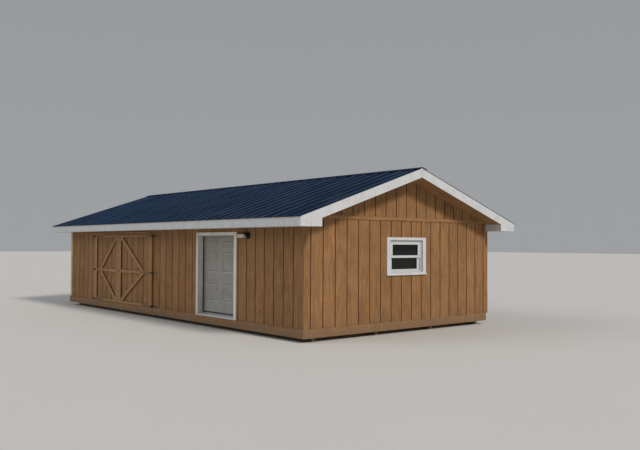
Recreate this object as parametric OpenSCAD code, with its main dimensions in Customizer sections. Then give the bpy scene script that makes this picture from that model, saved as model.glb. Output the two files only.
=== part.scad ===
// Timber boathouse on skids: grooved siding, boxed eaves, ribbed metal roof.
// X runs along the ridge, the doors face -Y, the window is in the +X gable.
// The origin is on the ground under the middle of the building.

/* [Shell] */
// Length of the wall framing along the ridge
frame_len = 12192; // [10980:6:13400]
// Width of the wall framing across the gables
frame_w = 6096; // [5490:6:6700]
// Height of the wall framing from the floor to the top of the plates
wall_h = 2330; // [2300:10:2700]
// Depth of the studs, which is the thickness of the bare wall
stud_d = 140; // [120:1:184]
// Thickness of every framing board
lumber_t = 38; // [36:1:45]
// Spacing of studs, joists and rafters
stud_pitch = 610; // [406:1:610]

/* [Siding] */
// Siding boards across a gable
boards_across = 18; // [16:1:24]
// Thickness of the plywood siding
siding_t = 15; // [12:1:18]
// Width of a groove
groove_w = 16; // [8:1:20]
// Depth of a groove
groove_d = 8; // [4:1:9]
// Width of the last strip at the far end of the front wall
end_strip_w = 195; // [120:5:240]

/* [Floor] */
// Height of the runners
skid_h = 90; // [60:1:140]
// Height of the joists and of the skirt boards
joist_h = 184; // [140:1:235]
// Thickness of the floor deck
deck_floor_t = 18; // [15:1:25]
// How far the back rim stands in under the back wall
back_rim_inset = 120; // [0:5:150]

/* [Roof] */
// Rise of the roof over its run
roof_slope = 0.335; // [0.3:0.005:0.42]
// Depth of the rafters across their length
rafter_d = 140; // [120:1:184]
// Eave overhang from the siding to the face of the fascia
eave_out = 472; // [300:2:500]
// Gable overhang from the siding to the face of the rake boards
gable_out = 478; // [300:2:500]
// Width of the fascia boards
fascia_h = 184; // [150:1:200]
// Distance between two ribs of the metal roof
rib_pitch = 380; // [229:1:406]
// Height of a rib
rib_h = 19; // [12:1:25]

/* [Barn doors] */
// Middle of the pair of barn doors
barn_x = -2255; // [-2500:5:-2100]
// Width of the opening in the siding
barn_w = 3770; // [3200:10:3850]
// Where the leaves meet, from the middle of the opening
barn_meet = -195; // [-300:5:300]
// Top of the leaves above the ground
barn_top = 2267; // [2250:1:2310]
// Height of the middle rail's centre
barn_mid = 1217; // [1100:1:1400]
// Width of the stiles
stile_w = 162; // [89:1:180]
// Width of the middle rail
rail_w = 80; // [70:1:110]
// Width of the diagonal braces
brace_w = 110; // [80:1:130]
// Where the braces reach the middle rail, as a share of the leaf from its outer edge
brace_tip = 0.24; // [0.1:0.01:0.4]
// How far the raised boards stand out
trim_t = 32; // [15:1:38]

/* [Entry door] */
// Middle of the entry door
entry_x = 2800; // [2600:5:2900]
// Width of the leaf
entry_w = 1542; // [914:1:1600]
// Height of the leaf
entry_h = 1870; // [1850:5:1900]
// Width of the side casings
entry_casing = 100; // [45:1:110]
// Width of the head casing
entry_head_casing = 65; // [45:1:110]

/* [Window] */
// Width of the opening between the casings
window_w = 1100; // [700:10:1160]
// Height of the opening between the casings
window_h = 745; // [600:5:800]
// Bottom of that opening above the ground
window_z = 1377; // [1300:1:1450]
// Width of the side casings
window_side = 105; // [60:1:110]
// Width of the head casing and of the apron
window_head = 64; // [50:1:90]

/* [Hidden] */
$fn = 32;

half_x = frame_len / 2;
half_y = frame_w / 2;
face_x = half_x + siding_t;
face_y = half_y + siding_t;

joist_z = skid_h;
joist_top = joist_z + joist_h;
floor_z = joist_top + deck_floor_t;
plate_z = floor_z + wall_h;
joint_gap = 1;
// Clearance under every sloping seat
seat_gap = 0.3;
board_pitch = frame_w / boards_across;

// Roof planes, as heights over a distance y from the ridge
roof_angle = atan(roof_slope);
roof_cos = cos(roof_angle);
roof_deck_t = 12;
board_t = 19;
soffit_t = 10;
inner_y = half_y - stud_d;
function rafter_low(y) = plate_z + roof_slope * (inner_y - y);
function rafter_high(y) = rafter_low(y) + rafter_d / roof_cos;
function deck_low(y) = rafter_high(y) + seat_gap / roof_cos;
function deck_high(y) = deck_low(y) + roof_deck_t / roof_cos;
// Underside of the wood that carries the gable soffit, and the soffit under it
function nailer_low(y) = rafter_low(y) - lumber_t / roof_cos;
function rake_low(y) = nailer_low(y) - (seat_gap + soffit_t) / roof_cos;

fascia_y = face_y + eave_out;
rake_x = face_x + gable_out;
fascia_z = round(rafter_high(fascia_y) - fascia_h);
soffit_z = fascia_z + 4;
foot_inset = 85;

// Siding joint under the belt board of a gable
belt_h = 76;
belt_z = fascia_z + 188;
gable_joint_z = belt_z + belt_h / 2;

skid_w = 89;
skid_ys = [-0.9, -0.3, 0.3, 0.86] * half_y;

plate_t = lumber_t;
top_plates = 2 * plate_t;

// Barn doors: leaves stand in the siding opening and close on the wall studs
leaf_gap = 8;
stop_w = 30;
leaf_stand_off = 5;
barn_bottom = joist_top + 10;
barn_half = barn_w / 2;
leaf_back_y = -half_y - leaf_stand_off;
leaf_face_y = leaf_back_y - siding_t;
trim_face_y = leaf_face_y - trim_t;
header_z = barn_top - 12;
end_rail_w = 74;

// Band and hook hinges of the barn doors
strap_len = 650;
strap_h = 32;
strap_tip_h = 20;
strap_t = 5;
pin_r = 8;
eye_clear = 0.5;
eye_r = pin_r + eye_clear + strap_t;
eye_out = eye_r + 0.5;
pin_y = trim_face_y - eye_out;
pin_top = 10;
hook_t = 12;
hook_gap = 2;
plate_len = 240;
hinge_plate_t = 6;
strap_zs = [barn_bottom + end_rail_w / 2, barn_mid, barn_top - end_rail_w / 2];

// Entry door: opens inwards, its leaf lies at the inner face of the frame
jamb_t = 20;
leaf_clear = 6;
entry_leaf_t = 40;
frame_in = 20;
entry_z = floor_z + 55;
jamb_half = entry_w / 2 + leaf_clear;
jamb_head = entry_z + entry_h + leaf_clear;
entry_back_y = -inner_y + frame_in;
entry_face_y = entry_back_y - entry_leaf_t;
entry_rough = jamb_half + jamb_t;
entry_head_rough = jamb_head + jamb_t;
casing_reveal = 6;

window_lining = 25;
window_rough_w = window_w + 2 * window_lining;
window_rough_z = window_z - window_lining;
window_rough_top = window_z + window_h + window_lining;
sash_t = 30;
window_recess = 65;

// Helpers

// Block between two corners
module block(low, high) {
    translate(low) cube(high - low);
}

// Outline in (distance from the ridge, height), drawn as a slab from x0 to x1
module slab_x(x0, x1) {
    translate([x0, 0, 0]) rotate([90, 0, 90]) linear_extrude(x1 - x0) children();
}

// The same piece on the front and on the back half
module both_sides() {
    children();
    mirror([0, 1, 0]) children();
}

// The same piece at both gables
module both_ends() {
    children();
    mirror([1, 0, 0]) children();
}

// Slab in the plane of a wall: (along, height) outline, from the face inwards
module wall_slab(depth) {
    translate([0, depth, 0]) rotate([90, 0, 0]) linear_extrude(depth) children();
}

// Turns a piece drawn at a front wall's face to the +X gable
module at_window_end(face) {
    translate([face, 0, 0]) rotate([0, 0, 90]) children();
}

// Grooved plywood from x0 to x1, its face at y = 0, with a groove at each place listed
module grooved(x0, x1, z0, z1, grooves) {
    translate([0, 0, z0]) linear_extrude(z1 - z0) difference() {
        translate([x0, 0]) square([x1 - x0, siding_t]);
        for (g = grooves)
            if (g > x0 + groove_w && g < x1 - groove_w)
                translate([g - groove_w / 2, -1]) square([groove_w, groove_d + 1]);
    }
}

// Studs and plates between x0 and x1, from the floor to the top plates
module stud_ladder(x0, x1) {
    bays = ceil((x1 - x0 - lumber_t) / stud_pitch);
    step = (x1 - x0 - lumber_t) / bays;
    translate([x0, floor_z]) square([x1 - x0, plate_t]);
    translate([x0, plate_z - top_plates]) square([x1 - x0, top_plates]);
    for (i = [0 : bays])
        translate([x0 + i * step, floor_z]) square([lumber_t, wall_h]);
}

// Floor

module skids() {
    color("dimgray") for (y = skid_ys)
        block([-half_x + 40, y - skid_w / 2, 0], [half_x - 40, y + skid_w / 2, skid_h]);
}

rim_back_y = half_y - back_rim_inset;

// Rim joists along the front and the back, and the joists between them
module floor_frame() {
    bays = round(frame_len / stud_pitch);
    step = (frame_len - lumber_t) / bays;
    rim_in = lumber_t + joint_gap;
    color("burlywood") {
        block([-half_x, -half_y, joist_z], [half_x, -half_y + lumber_t, joist_top]);
        block([-half_x, rim_back_y - lumber_t, joist_z], [half_x, rim_back_y, joist_top]);
        for (i = [0 : bays])
            block([-half_x + i * step, -half_y + rim_in, joist_z],
                  [-half_x + i * step + lumber_t, rim_back_y - rim_in, joist_top]);
    }
}

module floor_deck() {
    color("wheat") block([-half_x, -half_y, joist_top], [half_x, half_y, floor_z]);
}

module skirt_boards() {
    color("peru") {
        block([-half_x - lumber_t, -half_y - lumber_t, joist_z],
              [half_x + lumber_t, -half_y, joist_top]);
        block([-half_x - lumber_t, rim_back_y, joist_z],
              [half_x + lumber_t, rim_back_y + lumber_t, joist_top]);
        both_ends()
            block([half_x, -half_y + joint_gap, joist_z],
                  [half_x + lumber_t, rim_back_y - joint_gap, joist_top]);
    }
}

// Walls

front_grooves = concat(
    [for (i = [1 : floor(2 * face_x / board_pitch) - 1]) face_x - i * board_pitch],
    [-face_x + end_strip_w]
);
back_grooves = [for (i = [1 : floor(2 * face_x / board_pitch)]) face_x - i * board_pitch];
end_grooves = [for (i = [-20 : 19]) (i + 0.5) * board_pitch];
gable_grooves = [for (i = [-20 : 20]) i * board_pitch];

barn_low_x = barn_x - barn_half;
barn_high_x = barn_x + barn_half;
entry_low_x = entry_x - entry_rough;
entry_high_x = entry_x + entry_rough;

module front_wall_frame() {
    color("burlywood") translate([0, -half_y, 0]) wall_slab(stud_d) {
        stud_ladder(-half_x, barn_low_x + stop_w);
        stud_ladder(barn_high_x - stop_w, entry_low_x);
        stud_ladder(entry_high_x, half_x);
    }
}

module door_headers() {
    color("burlywood") {
        block([barn_low_x + stop_w, -half_y, header_z],
              [barn_high_x - stop_w, -inner_y, plate_z]);
        block([entry_low_x, -half_y, entry_head_rough],
              [entry_high_x, -inner_y, plate_z]);
    }
}

module front_siding() {
    color("peru") translate([0, -face_y, 0]) {
        grooved(-half_x, barn_low_x, joist_top, soffit_z, front_grooves);
        grooved(barn_high_x, entry_low_x, joist_top, soffit_z, front_grooves);
        grooved(entry_high_x, half_x, joist_top, soffit_z, front_grooves);
    }
}

module siding_over_doors() {
    color("peru") translate([0, -face_y, 0]) {
        grooved(barn_low_x, barn_high_x, barn_top + leaf_gap, soffit_z, front_grooves);
        grooved(entry_low_x, entry_high_x, entry_head_rough, soffit_z, front_grooves);
    }
}

module back_wall_frame() {
    color("burlywood") translate([0, inner_y, 0]) wall_slab(stud_d)
        stud_ladder(-half_x, half_x);
}

module back_siding() {
    color("peru") mirror([0, 1, 0]) translate([0, -face_y, 0])
        grooved(-half_x, half_x, joist_top, soffit_z, back_grooves);
}

ridge_top = rafter_high(lumber_t / 2);
ridge_low = ridge_top - joist_h;

// Studs between the top plates and the rafters of a gable
module gable_studs() {
    reach = inner_y - seat_gap / roof_slope;
    cut_y = (rafter_low(0) - ridge_low) / roof_slope;
    intersection() {
        polygon([[-reach, plate_z - 1], [reach, plate_z - 1], [reach, plate_z],
                 [cut_y, ridge_low - seat_gap], [-cut_y, ridge_low - seat_gap],
                 [-reach, plate_z]]);
        for (i = [-4 : 4])
            translate([i * stud_pitch - lumber_t / 2, plate_z - 1]) square([lumber_t, wall_h]);
    }
}

module end_frame_outline() {
    stud_ladder(-inner_y, inner_y);
    gable_studs();
}

module end_wall_frames() {
    color("burlywood") {
        mirror([1, 0, 0]) at_window_end(half_x) wall_slab(stud_d) end_frame_outline();
        at_window_end(half_x) wall_slab(stud_d) difference() {
            union() {
                end_frame_outline();
                translate([-window_rough_w / 2 - lumber_t, window_rough_z - lumber_t])
                    square([window_rough_w + 2 * lumber_t,
                            window_rough_top - window_rough_z + 2 * lumber_t]);
            }
            translate([-window_rough_w / 2, window_rough_z])
                square([window_rough_w, window_rough_top - window_rough_z]);
        }
    }
}

// Everything under the roof deck at a gable, as an outline in (across, height)
module gable_outline(z0, z1) {
    intersection() {
        translate([-face_y, z0]) square([2 * face_y, z1 - z0]);
        polygon([[-face_y, 0], [face_y, 0], [face_y, rafter_high(face_y)],
                 [0, rafter_high(0)], [-face_y, rafter_high(face_y)]]);
    }
}

module gable_panel(z0, z1, grooves) {
    intersection() {
        grooved(-face_y, face_y, z0, z1, grooves);
        translate([0, -1, 0]) wall_slab(siding_t + 2) gable_outline(z0, z1);
    }
}

module window_wall_siding() {
    color("peru") at_window_end(face_x) difference() {
        gable_panel(joist_top, gable_joint_z, end_grooves);
        block([-window_rough_w / 2, -1, window_rough_z],
              [window_rough_w / 2, siding_t + 1, window_rough_top]);
    }
}

module plain_end_siding() {
    color("peru") mirror([1, 0, 0]) at_window_end(face_x)
        gable_panel(joist_top, gable_joint_z, end_grooves);
}

module gable_siding() {
    color("peru") both_ends() at_window_end(face_x)
        gable_panel(gable_joint_z, rafter_high(0) + 1, gable_grooves);
}

module belt_boards() {
    function top(y) = rake_low(y) - seat_gap;
    color("sandybrown") both_ends() at_window_end(face_x) translate([0, -board_t, 0])
        wall_slab(board_t) intersection() {
            translate([-face_y, belt_z]) square([2 * face_y, belt_h]);
            polygon([[-face_y, 0], [face_y, 0], [face_y, top(face_y)],
                     [0, top(0)], [-face_y, top(face_y)]]);
        }
}

// Roof frame

tail_y = fascia_y - board_t;

// Gable feet start at foot_y, and the box behind them at box_y
foot_y = face_y - foot_inset;
box_y = foot_y + board_t;

// Outline of a rafter, cut to sit on the plates
module rafter_outline() {
    top_y = lumber_t / 2;
    polygon([
        [top_y, rafter_high(top_y)], [top_y, rafter_low(top_y)],
        [inner_y, plate_z], [half_y, plate_z], [half_y, rafter_low(half_y)],
        [tail_y, rafter_low(tail_y)], [tail_y, rafter_high(tail_y)]
    ]);
}

// Outline of the outer rafter of a gable, deeper where it carries the soffit
module fly_outline() {
    polygon([
        [joint_gap, rafter_high(joint_gap)], [joint_gap, nailer_low(joint_gap)],
        [box_y, nailer_low(box_y)], [box_y, rafter_low(box_y)],
        [tail_y, rafter_low(tail_y)], [tail_y, rafter_high(tail_y)]
    ]);
}

// Outline of the ledger that carries the soffit along the wall
module ledger_outline() {
    polygon([
        [joint_gap, rafter_low(joint_gap)], [joint_gap, nailer_low(joint_gap)],
        [foot_y, nailer_low(foot_y)], [foot_y, rafter_low(foot_y)]
    ]);
}

rafter_bays = round(frame_len / stud_pitch);
rafter_step = (frame_len - lumber_t) / rafter_bays;
fly_x = rake_x - board_t - lumber_t;

module rafters() {
    for (i = [0 : rafter_bays])
        slab_x(-half_x + i * rafter_step, -half_x + i * rafter_step + lumber_t)
            rafter_outline();
    both_ends() {
        slab_x(fly_x, fly_x + lumber_t) fly_outline();
        slab_x(face_x, face_x + lumber_t) ledger_outline();
    }
}

module rafters_front() {
    color("burlywood") mirror([0, 1, 0]) rafters();
}

module rafters_back() {
    color("burlywood") rafters();
}

module ridge_board() {
    color("burlywood")
        block([-half_x, -lumber_t / 2, ridge_low], [half_x, lumber_t / 2, ridge_top]);
}

// Ties across the building beside every other pair of rafters
module ceiling_ties() {
    tie_top = plate_z + rafter_d;
    clip_y = inner_y + (rafter_high(inner_y) - tie_top) / roof_slope;
    color("burlywood") for (i = [1 : 2 : rafter_bays - 1]) {
        x = -half_x + i * rafter_step + lumber_t;
        slab_x(x, x + lumber_t) polygon([
            [-half_y, plate_z], [half_y, plate_z], [half_y, rafter_high(half_y)],
            [clip_y, tie_top], [-clip_y, tie_top], [-half_y, rafter_high(half_y)]
        ]);
    }
}

vent_y = 25;

module roof_deck() {
    color("wheat") both_sides() slab_x(-rake_x + board_t, rake_x - board_t) polygon([
        [vent_y, deck_low(vent_y)], [vent_y, deck_high(vent_y)],
        [fascia_y, deck_high(fascia_y)], [fascia_y, deck_low(fascia_y)]
    ]);
}

// Metal roof

sheet_t = 2.5;
rib_foot = 46;
rib_top = 22;
metal_side_out = 14;
metal_eave_out = 28;
sheet_half = rake_x + metal_side_out;
rib_count = floor(sheet_half / rib_pitch);

// One rib of the sheet's outline, as points from left to right
function rib_points(x, foot, top, rise, lift) = [
    [x - foot / 2, lift], [x - top / 2, rise + lift],
    [x + top / 2, rise + lift], [x + foot / 2, lift]
];

function sheet_side(foot, top, rise, lift) = concat(
    [[-sheet_half, lift]],
    [for (i = [-rib_count : rib_count])
        for (p = rib_points(i * rib_pitch, foot, top, rise, lift)) p],
    [[sheet_half, lift]]
);

function reversed(list) = [for (i = [len(list) - 1 : -1 : 0]) list[i]];

// Outline of a ribbed sheet of even thickness lying on the deck
module sheet_outline() {
    polygon(concat(
        sheet_side(rib_foot - 2 * sheet_t, rib_top - 2 * sheet_t, rib_h - sheet_t, 0),
        reversed(sheet_side(rib_foot, rib_top, rib_h - sheet_t, sheet_t))
    ));
}

// Puts a piece that lies in the xy plane on the front slope, down the slope being -Y
module on_front_slope() {
    translate([0, 0, deck_high(0) + seat_gap / roof_cos]) rotate([roof_angle, 0, 0]) children();
}

module metal_roof() {
    slope_len = (fascia_y + metal_eave_out) / roof_cos;
    color("midnightblue") both_sides() on_front_slope()
        translate([0, -vent_y, 0]) rotate([90, 0, 0])
            linear_extrude(slope_len - vent_y) sheet_outline();
}

// Folded cap resting on the ribs
module ridge_cap() {
    cap_y = 160;
    lift = (rib_h + 2 * seat_gap) / roof_cos;
    thick = sheet_t / roof_cos;
    function low(y) = deck_high(y) + lift;
    color("midnightblue") slab_x(-sheet_half, sheet_half) polygon([
        [-cap_y, low(cap_y)], [0, low(0)], [cap_y, low(cap_y)],
        [cap_y, low(cap_y) + thick], [0, low(0) + thick], [-cap_y, low(cap_y) + thick]
    ]);
}

// Eaves and rakes

module fascia_boards() {
    color("white") both_sides() slab_x(-rake_x + board_t, rake_x - board_t) polygon([
        [tail_y, fascia_z], [fascia_y, fascia_z],
        [fascia_y, rafter_high(fascia_y)], [tail_y, rafter_high(tail_y)]
    ]);
}

joint_y = foot_y + (deck_high(foot_y) - rake_low(foot_y)) * roof_cos * sin(roof_angle);

module rake_boards() {
    color("white") both_ends() both_sides() slab_x(rake_x - board_t, rake_x) polygon([
        [joint_gap, deck_high(joint_gap)], [joint_gap, rake_low(joint_gap)],
        [foot_y, rake_low(foot_y)], [joint_y, deck_high(joint_y)]
    ]);
}

module rake_feet() {
    color("white") both_ends() both_sides() slab_x(rake_x - board_t, rake_x) polygon([
        [foot_y, rake_low(foot_y)], [foot_y, fascia_z], [fascia_y, fascia_z],
        [fascia_y, deck_high(fascia_y)], [joint_y, deck_high(joint_y)]
    ]);
}

// One board under each eave, which also closes the boxes at the gables from below
module eave_soffits() {
    box_x = rake_x - board_t;
    end = [[half_x, half_y], [half_x, face_y], [face_x, face_y],
           [face_x, box_y], [box_x, box_y], [box_x, tail_y]];
    color("white") both_sides() translate([0, 0, soffit_z]) linear_extrude(soffit_t)
        polygon(concat(end, [for (p = reversed(end)) [-p[0], p[1]]]));
}

// Boards that close those boxes towards the middle of the gable
module eave_returns() {
    color("white") both_ends() both_sides() slab_x(face_x, rake_x - board_t) polygon([
        [foot_y, fascia_z], [box_y, fascia_z],
        [box_y, rake_low(box_y) - seat_gap], [foot_y, rake_low(foot_y) - seat_gap]
    ]);
}

module gable_soffits() {
    drop = soffit_t / roof_cos;
    color("peru") both_ends() both_sides() slab_x(face_x, rake_x - board_t) polygon([
        [joint_gap, rake_low(joint_gap)], [joint_gap, rake_low(joint_gap) + drop],
        [box_y, rake_low(box_y) + drop], [box_y, rake_low(box_y)]
    ]);
}

// Window, drawn at y = 0 as the siding's face and turned to the gable

module ring(x_half, z0, z1, side, bottom, top) {
    difference() {
        translate([-x_half, z0]) square([2 * x_half, z1 - z0]);
        translate([-x_half + side, z0 + bottom])
            square([2 * (x_half - side), z1 - z0 - bottom - top]);
    }
}

module window_casing() {
    outer = window_w / 2 + window_side;
    color("white") at_window_end(face_x) {
        translate([0, -board_t, 0]) wall_slab(board_t)
            ring(outer, window_z - window_head, window_z + window_h + window_head,
                 window_side, window_head, window_head);
        block([-outer - 12, -board_t - 22, window_z - window_head + 8],
              [outer + 12, -board_t + 1, window_z - window_head + 30]);
    }
}

module window_frame() {
    ring_y = 28;
    ring_depth = 92;
    color("gainsboro") at_window_end(face_x) {
        wall_slab(siding_t + stud_d)
            ring(window_rough_w / 2, window_rough_z, window_rough_top,
                 window_lining, window_lining, window_lining);
        translate([0, ring_y, 0]) wall_slab(ring_depth)
            ring(window_w / 2 + 1, window_z - 1, window_z + window_h + 1,
                 frame_side + 1, frame_foot + 1, frame_head + 1);
    }
}

// Widths of the frame and sash members, and the levels of the meeting rails
frame_side = 38;
frame_foot = 30;
frame_head = 35;
sash_stile = 88;
sash_foot = 48;
sash_head = 65;
sash_meet = 53;
sash_half = window_w / 2 - frame_side;
sash_low_z = window_z + frame_foot;
sash_top_z = window_z + window_h - frame_head;
meet_low_z = (sash_low_z + sash_foot + sash_top_z - sash_head - sash_meet) / 2 + 5;
meet_top_z = meet_low_z + sash_meet;
upper_y = window_recess - sash_t;

module window_sashes() {
    color("white") at_window_end(face_x) {
        translate([0, window_recess + 1, 0]) wall_slab(sash_t)
            ring(sash_half, sash_low_z, meet_top_z, sash_stile, sash_foot, sash_meet);
        translate([0, upper_y, 0]) wall_slab(sash_t)
            ring(sash_half, meet_low_z, sash_top_z, sash_stile, sash_meet, sash_head);
    }
}

module window_glass() {
    glass_t = 6;
    pane_in = 12;
    pane_half = sash_half - sash_stile;
    color("dimgray") at_window_end(face_x) {
        block([-pane_half, window_recess + pane_in, sash_low_z + sash_foot],
              [pane_half, window_recess + pane_in + glass_t, meet_low_z]);
        block([-pane_half, upper_y + pane_in, meet_top_z],
              [pane_half, upper_y + pane_in + glass_t, sash_top_z - sash_head]);
    }
}

// Entry door

module entry_casing_boards() {
    outer = jamb_half + casing_reveal + entry_casing;
    inner = jamb_half + casing_reveal;
    color("white") translate([entry_x, -face_y - board_t, 0]) wall_slab(board_t) difference() {
        translate([-outer, joist_top])
            square([2 * outer, jamb_head + casing_reveal + entry_head_casing - joist_top]);
        translate([-inner, joist_top - 1])
            square([2 * inner, jamb_head + casing_reveal - joist_top + 1]);
    }
}

module entry_frame() {
    stop_y = face_y + entry_face_y - leaf_clear;
    color("gainsboro") translate([entry_x, -face_y, 0]) {
        wall_slab(siding_t + stud_d + frame_in) difference() {
            translate([-entry_rough, floor_z])
                square([2 * entry_rough, entry_head_rough - floor_z]);
            translate([-jamb_half, floor_z - 1])
                square([2 * jamb_half, jamb_head - floor_z + 1]);
        }
        translate([0, stop_y - 32, 0]) wall_slab(32) difference() {
            translate([-jamb_half, entry_z]) square([2 * jamb_half, jamb_head - entry_z]);
            translate([-jamb_half + 12, entry_z - 1])
                square([2 * (jamb_half - 12), jamb_head - 12 - entry_z + 1]);
        }
    }
}

module entry_sill() {
    nose_y = -face_y - board_t - 6;
    nose_z = joist_top + 2;
    color("silver") slab_x(entry_x - jamb_half, entry_x + jamb_half) polygon([
        [nose_y, nose_z], [nose_y, nose_z + 24], [entry_face_y - 4, entry_z - 8],
        [entry_back_y, entry_z - 8], [entry_back_y, floor_z], [-half_y, floor_z],
        [-half_y, nose_z]
    ]);
}

// Six raised panels: height of each row over the leaf's bottom, and its size
panel_rows = [[280, 445], [980, 497], [1556, 179]];
panel_stile = 265;
panel_mullion = 190;
panel_w = (entry_w - 2 * panel_stile - panel_mullion) / 2;

// Sunk moulding round a raised panel, cut cut_d deep from y = 0
module panel_cut(height, cut_d) {
    margin = 26;
    difference() {
        translate([0, -1, 0]) cube([panel_w, cut_d + 1, height]);
        translate([margin, -2, margin])
            cube([panel_w - 2 * margin, cut_d + 3, height - 2 * margin]);
    }
}

module entry_leaf() {
    cut_d = 7;
    color("gainsboro") translate([entry_x - entry_w / 2, entry_face_y, entry_z]) difference() {
        cube([entry_w, entry_leaf_t, entry_h]);
        for (row = panel_rows, column = [0, 1]) {
            x = panel_stile + column * (panel_w + panel_mullion);
            translate([x, 0, row[0]]) panel_cut(row[1], cut_d);
            translate([x, entry_leaf_t, row[0]]) mirror([0, 1, 0]) panel_cut(row[1], cut_d);
        }
    }
}

knob_z = entry_z + 900;
knob_x = entry_x + entry_w / 2 - 70;

module knob_outline() {
    polygon([[0, 0], [32, 0], [32, 4], [28, 8], [11, 10], [10, 34], [20, 40],
             [27, 48], [27, 58], [20, 66], [0, 68]]);
}

module entry_knobs() {
    color("silver") {
        translate([knob_x, entry_face_y, knob_z]) rotate([90, 0, 0])
            rotate_extrude() knob_outline();
        translate([knob_x, entry_back_y, knob_z]) rotate([-90, 0, 0])
            rotate_extrude() knob_outline();
    }
}

// Butt hinges of the entry door: the frame's part has the pin and two knuckles, the
// leaf's part has the knuckle between them
knuckle_r = 8;
knuckle_out = 9;
hinge_h = 102;
hinge_zs = [for (z = [180, 900, 1620]) entry_z + z];
hinge_axis = [entry_x - jamb_half + leaf_clear / 2, entry_back_y + knuckle_out];

// Hinge plate lying against the face at x, and its tab to a knuckle from z0 to z1
module hinge_flap(x, tabs) {
    flap_t = 2;
    flap_w = 36;
    block([x, -knuckle_out - flap_w, 0], [x + flap_t, -knuckle_out, hinge_h]);
    for (tab = tabs)
        block([x, -knuckle_out - 1, tab[0]], [x + flap_t, -knuckle_r + 2, tab[1]]);
}

module entry_hinges_frame() {
    third = hinge_h / 3;
    color("silver") for (z = hinge_zs) translate([hinge_axis[0], hinge_axis[1], z]) {
        hinge_flap(-leaf_clear / 2, [[0, third - 1], [2 * third + 1, hinge_h]]);
        cylinder(r = knuckle_r / 2, h = hinge_h);
        for (low = [0, 2 * third + 1])
            translate([0, 0, low]) cylinder(r = knuckle_r, h = third - 1);
    }
}

module entry_hinges_leaf() {
    third = hinge_h / 3;
    color("silver") for (z = hinge_zs) translate([hinge_axis[0], hinge_axis[1], z])
        difference() {
            union() {
                hinge_flap(leaf_clear / 2 - 2, [[third, 2 * third]]);
                translate([0, 0, third]) cylinder(r = knuckle_r, h = third);
            }
            translate([0, 0, third - 1]) cylinder(r = knuckle_r / 2 + 0.5, h = third + 2);
        }
}

// Barn doors, drawn as the right leaf with its hinge side at x = 0 and turned for the left

module place_leaf(side) {
    if (side > 0)
        translate([barn_high_x, 0, 0]) mirror([1, 0, 0]) children();
    else
        translate([barn_low_x, 0, 0]) children();
}

leaf_x0 = leaf_gap;
function leaf_w(side) = barn_half - side * barn_meet - 1.5 * leaf_gap;

module barn_panel(side) {
    leaf_x1 = leaf_x0 + leaf_w(side);
    grooves = [for (i = [0 : 6]) leaf_x1 - (i + 0.5) * board_pitch];
    color("peru") place_leaf(side) translate([0, leaf_face_y, 0])
        grooved(leaf_x0, leaf_x1, barn_bottom, barn_top, grooves);
}

// Board through two points of the leaf and past them, brace_w wide
module brace(from, to) {
    run = to - from;
    translate(from) rotate(atan2(run[1], run[0]))
        translate([-brace_w, -brace_w / 2]) square([norm(run) + 2 * brace_w, brace_w]);
}

// Frame of a leaf with two braces from the meeting corners to the middle rail
module trim_outline(side) {
    width = leaf_w(side);
    inner_x = leaf_x0 + width - stile_w;
    rail_low = barn_bottom + end_rail_w;
    rail_high = barn_top - end_rail_w;
    tip = [leaf_x0 + brace_tip * width, barn_mid];
    difference() {
        translate([leaf_x0, barn_bottom]) square([width, barn_top - barn_bottom]);
        for (field = [[rail_low, barn_mid - rail_w / 2, rail_low],
                      [barn_mid + rail_w / 2, rail_high, rail_high]])
            difference() {
                translate([leaf_x0 + stile_w, field[0]])
                    square([width - 2 * stile_w, field[1] - field[0]]);
                brace([inner_x, field[2]], tip);
            }
    }
}

module barn_trim(side) {
    color("sandybrown") place_leaf(side) translate([0, trim_face_y, 0])
        wall_slab(trim_t) trim_outline(side);
}

// Tapered strap that starts at the pin, x = 0, and runs to +X for a way of 1, to -X for -1
module strap_outline(way) {
    point_x = strap_len - 30;
    polygon([[0, -strap_h / 2], [0, strap_h / 2], [way * point_x, strap_tip_h / 2],
             [way * strap_len, 0], [way * point_x, -strap_tip_h / 2]]);
}

module barn_straps(side) {
    color("#26221f") for (z = strap_zs) {
        translate([barn_x + side * barn_half, pin_y, z]) difference() {
            union() {
                translate([0, eye_out - strap_t, 0]) wall_slab(strap_t) strap_outline(-side);
                translate([0, 0, -strap_h / 2]) cylinder(r = eye_r, h = strap_h);
            }
            translate([0, 0, -strap_h]) cylinder(r = pin_r + eye_clear, h = 2 * strap_h);
        }
    }
}

// Wall plates with the hooks that carry the straps
module barn_hinge_plates() {
    plate_edge = 12;
    hook_w = 22;
    color("#26221f") for (side = [-1, 1]) place_leaf(side) for (z = strap_zs) {
        hook_z = z - strap_h / 2 - hook_gap - hook_t;
        block([-plate_len, -face_y - hinge_plate_t, hook_z],
              [-plate_edge, -face_y, z + strap_h / 2]);
        block([-plate_edge - hook_w, pin_y, hook_z], [-plate_edge, -face_y, hook_z + hook_t]);
        block([-plate_edge - hook_w, pin_y - pin_r, hook_z],
              [0, pin_y + pin_r, hook_z + hook_t]);
        translate([0, pin_y, hook_z])
            cylinder(r = pin_r, h = hook_t + hook_gap + strap_h + pin_top);
    }
}

module barn_head_board() {
    color("sandybrown")
        block([barn_low_x - 90, -face_y - board_t, barn_top + 14],
              [barn_high_x - 170, -face_y, barn_top + 78]);
}

// Flood light right of the entry door

light_x = 4150;
light_z = 2206;

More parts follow.
